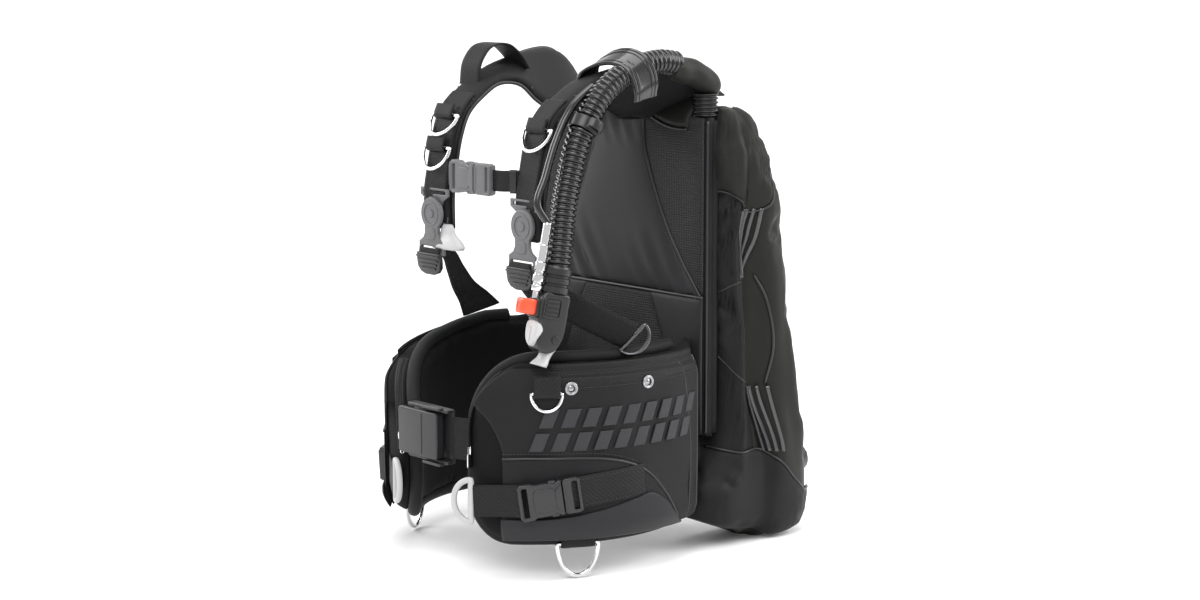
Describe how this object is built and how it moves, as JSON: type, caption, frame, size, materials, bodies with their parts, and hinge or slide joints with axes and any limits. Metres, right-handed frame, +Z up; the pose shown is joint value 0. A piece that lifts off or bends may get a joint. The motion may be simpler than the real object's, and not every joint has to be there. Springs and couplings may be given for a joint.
{
  "type": "buoyancy compensator vest",
  "caption": "Back-inflation diving vest with padded waist lobes, corrugated inflator hose, weight pouches and a tank band.",
  "frame": {"origin": "on the tank's axis, halfway up the tank band", "axes": "+Z up along the tank, -Y the way the wearer faces, +X to the wearer's left"},
  "size_m": [0.3872, 0.5933, 0.6149],
  "materials": {
    "nylon": "woven nylon",
    "wing_nylon": "coated nylon",
    "webbing": "woven polyester webbing",
    "bladder": "welded film",
    "black_plastic": "fine texture",
    "grey_plastic": "fine texture",
    "dark_plastic": "fine texture",
    "pale_plastic": "satin",
    "orange_plastic": "satin",
    "hose_rubber": "gloss",
    "chrome": "polished",
    "steel": "brushed"
  },
  "bodies": {
    "harness": {"backplate": "black_plastic", "backplate_screws": "steel", "tank_band": "webbing", "tank_buckle_frame": "black_plastic", "carry_handle": "webbing", "back_pad": "nylon", "air_cell_shell": "wing_nylon", "air_bladder": "bladder", "shoulder_harness": "nylon", "shoulder_webbing": "webbing", "shoulder_loops": "nylon", "sternum_buckle_socket": "grey_plastic", "buckle_hangers": "grey_plastic", "lower_webbing": "webbing", "shoulder_elbow": "black_plastic", "hose_upper": "hose_rubber", "right_dump_valve": "black_plastic", "rear_dump_housing": "black_plastic"},
    "tank_lever": {"tank_buckle_lever": "black_plastic"},
    "left_chest_ring": {"left_chest_ring": "chrome"},
    "right_chest_ring_upper": {"right_chest_ring_upper": "chrome"},
    "right_chest_ring_lower": {"right_chest_ring_lower": "chrome"},
    "sternum_plug": {"sternum_buckle_plug": "grey_plastic"},
    "left_swivel": {"left_buckle_swivel": "grey_plastic"},
    "right_swivel": {"right_buckle_swivel": "grey_plastic"},
    "dump_knob": {"dump_knob": "pale_plastic"},
    "rear_dump": {"rear_dump_plunger": "black_plastic"},
    "inflator": {"hose_lower": "hose_rubber", "hose_clip": "black_plastic", "lp_hose": "hose_rubber", "lp_coupling": "chrome", "inflator_collar": "black_plastic", "inflator_body": "black_plastic", "mouthpiece": "pale_plastic"},
    "inflate_button": {"inflate_button": "orange_plastic"},
    "deflate_button": {"deflate_button": "pale_plastic"},
    "left_lobe": {"left_waist_panel": "nylon", "left_pocket": "nylon", "left_eyelets": "steel", "left_pocket_plug": "dark_plastic", "left_waist_webbing": "webbing"},
    "left_pouch": {"left_weight_pouch": "nylon", "left_pocket_socket": "dark_plastic"},
    "left_handle": {"left_grab_handle": "pale_plastic"},
    "left_zip_slider": {"left_zip_slider": "chrome"},
    "left_bottom_ring": {"left_bottom_ring": "chrome"},
    "right_lobe": {"right_waist_panel": "nylon", "right_pocket": "nylon", "right_eyelets": "steel", "right_pocket_plug": "dark_plastic", "right_waist_webbing": "webbing", "waist_buckle_frame": "dark_plastic"},
    "right_pouch": {"right_weight_pouch": "nylon", "right_pocket_socket": "dark_plastic"},
    "right_handle": {"right_grab_handle": "pale_plastic"},
    "right_zip_slider": {"right_zip_slider": "chrome"},
    "right_bottom_ring": {"right_bottom_ring": "chrome"},
    "left_hip_ring": {"left_hip_ring": "chrome"},
    "waist_lever": {"waist_buckle_lever": "dark_plastic"}
  },
  "joints": [
    {"name": "tank_lever_cam", "type": "hinge", "parent": "harness", "child": "tank_lever", "pos_m": [0.022, 0.103, 0], "axis": [0, 0, 1], "range_deg": [-150, 0]},
    {"name": "left_chest_ring_pivot", "type": "hinge", "parent": "harness", "child": "left_chest_ring", "pos_m": [0.086, -0.333, 0.232], "axis": [1, 0, 0], "range_deg": [-100, 5]},
    {"name": "right_chest_ring_upper_pivot", "type": "hinge", "parent": "harness", "child": "right_chest_ring_upper", "pos_m": [-0.086, -0.333, 0.232], "axis": [1, 0, 0], "range_deg": [-100, 5]},
    {"name": "right_chest_ring_lower_pivot", "type": "hinge", "parent": "harness", "child": "right_chest_ring_lower", "pos_m": [-0.086, -0.36, 0.189], "axis": [1, 0, 0], "range_deg": [-85, 5]},
    {"name": "sternum_plug_release", "type": "slide", "parent": "harness", "child": "sternum_plug", "axis": [1, 0, 0], "range_m": [0, 0.02]},
    {"name": "left_swivel_turn", "type": "hinge", "parent": "harness", "child": "left_swivel", "pos_m": [0.086, -0.381, 0.122], "axis": [0, 1, 0], "range_deg": [-9, 15]},
    {"name": "right_swivel_turn", "type": "hinge", "parent": "harness", "child": "right_swivel", "pos_m": [-0.086, -0.381, 0.122], "axis": [0, 1, 0], "range_deg": [-15, 9]},
    {"name": "dump_knob_pull", "type": "slide", "parent": "harness", "child": "dump_knob", "axis": [0, 0, -1], "range_m": [0, 0.02]},
    {"name": "rear_dump_pull", "type": "slide", "parent": "harness", "child": "rear_dump", "axis": [0, 0.9928, 0.12], "range_m": [0, 0.008]},
    {"name": "inflator_swing", "type": "hinge", "parent": "harness", "child": "inflator", "pos_m": [0.131, -0.231, 0.298], "axis": [1, 0, 0], "range_deg": [-15, 0]},
    {"name": "inflate_press", "type": "slide", "parent": "inflator", "child": "inflate_button", "axis": [0.2489, 0.9457, -0.2091], "range_m": [0, 0.003]},
    {"name": "deflate_press", "type": "slide", "parent": "inflator", "child": "deflate_button", "axis": [0.2489, 0.9457, -0.2091], "range_m": [0, 0.003]},
    {"name": "left_lobe_swing", "type": "hinge", "parent": "harness", "child": "left_lobe", "pos_m": [0.15, -0.172, -0.14], "axis": [0, 0, 1], "range_deg": [0, 45]},
    {"name": "left_pouch_pull", "type": "hinge", "parent": "left_lobe", "child": "left_pouch", "pos_m": [-0.025, -0.269, -0.2], "axis": [0, 0, 1], "range_deg": [-22, 0]},
    {"name": "left_handle_swing", "type": "hinge", "parent": "left_pouch", "child": "left_handle", "pos_m": [0.06677, -0.47037, -0.195], "axis": [0, 0, 1], "range_deg": [-25, 25]},
    {"name": "left_zip_run", "type": "slide", "parent": "left_lobe", "child": "left_zip_slider", "axis": [0, 0, 1], "range_m": [0, 0.07]},
    {"name": "left_bottom_ring_pivot", "type": "hinge", "parent": "left_lobe", "child": "left_bottom_ring", "pos_m": [0.15676, -0.36161, -0.249], "axis": [-0.454, -0.891, 0], "range_deg": [-60, 60]},
    {"name": "right_lobe_swing", "type": "hinge", "parent": "harness", "child": "right_lobe", "pos_m": [-0.15, -0.172, -0.14], "axis": [0, 0, 1], "range_deg": [-45, 0]},
    {"name": "right_pouch_pull", "type": "hinge", "parent": "right_lobe", "child": "right_pouch", "pos_m": [0.025, -0.269, -0.2], "axis": [0, 0, 1], "range_deg": [0, 22]},
    {"name": "right_handle_swing", "type": "hinge", "parent": "right_pouch", "child": "right_handle", "pos_m": [-0.06677, -0.47037, -0.195], "axis": [0, 0, 1], "range_deg": [-25, 25]},
    {"name": "right_zip_run", "type": "slide", "parent": "right_lobe", "child": "right_zip_slider", "axis": [0, 0, 1], "range_m": [0, 0.07]},
    {"name": "right_bottom_ring_pivot", "type": "hinge", "parent": "right_lobe", "child": "right_bottom_ring", "pos_m": [-0.15676, -0.36161, -0.249], "axis": [0.454, -0.891, 0], "range_deg": [-60, 60]},
    {"name": "left_hip_ring_pivot", "type": "hinge", "parent": "left_lobe", "child": "left_hip_ring", "pos_m": [0.15128, -0.40427, -0.07], "axis": [-0.6088, -0.7934, 0], "range_deg": [-5, 90]},
    {"name": "waist_lever_cam", "type": "hinge", "parent": "right_lobe", "child": "waist_lever", "pos_m": [0.02, -0.456, -0.128], "axis": [0, 0, 1], "range_deg": [0, 95]}
  ]
}
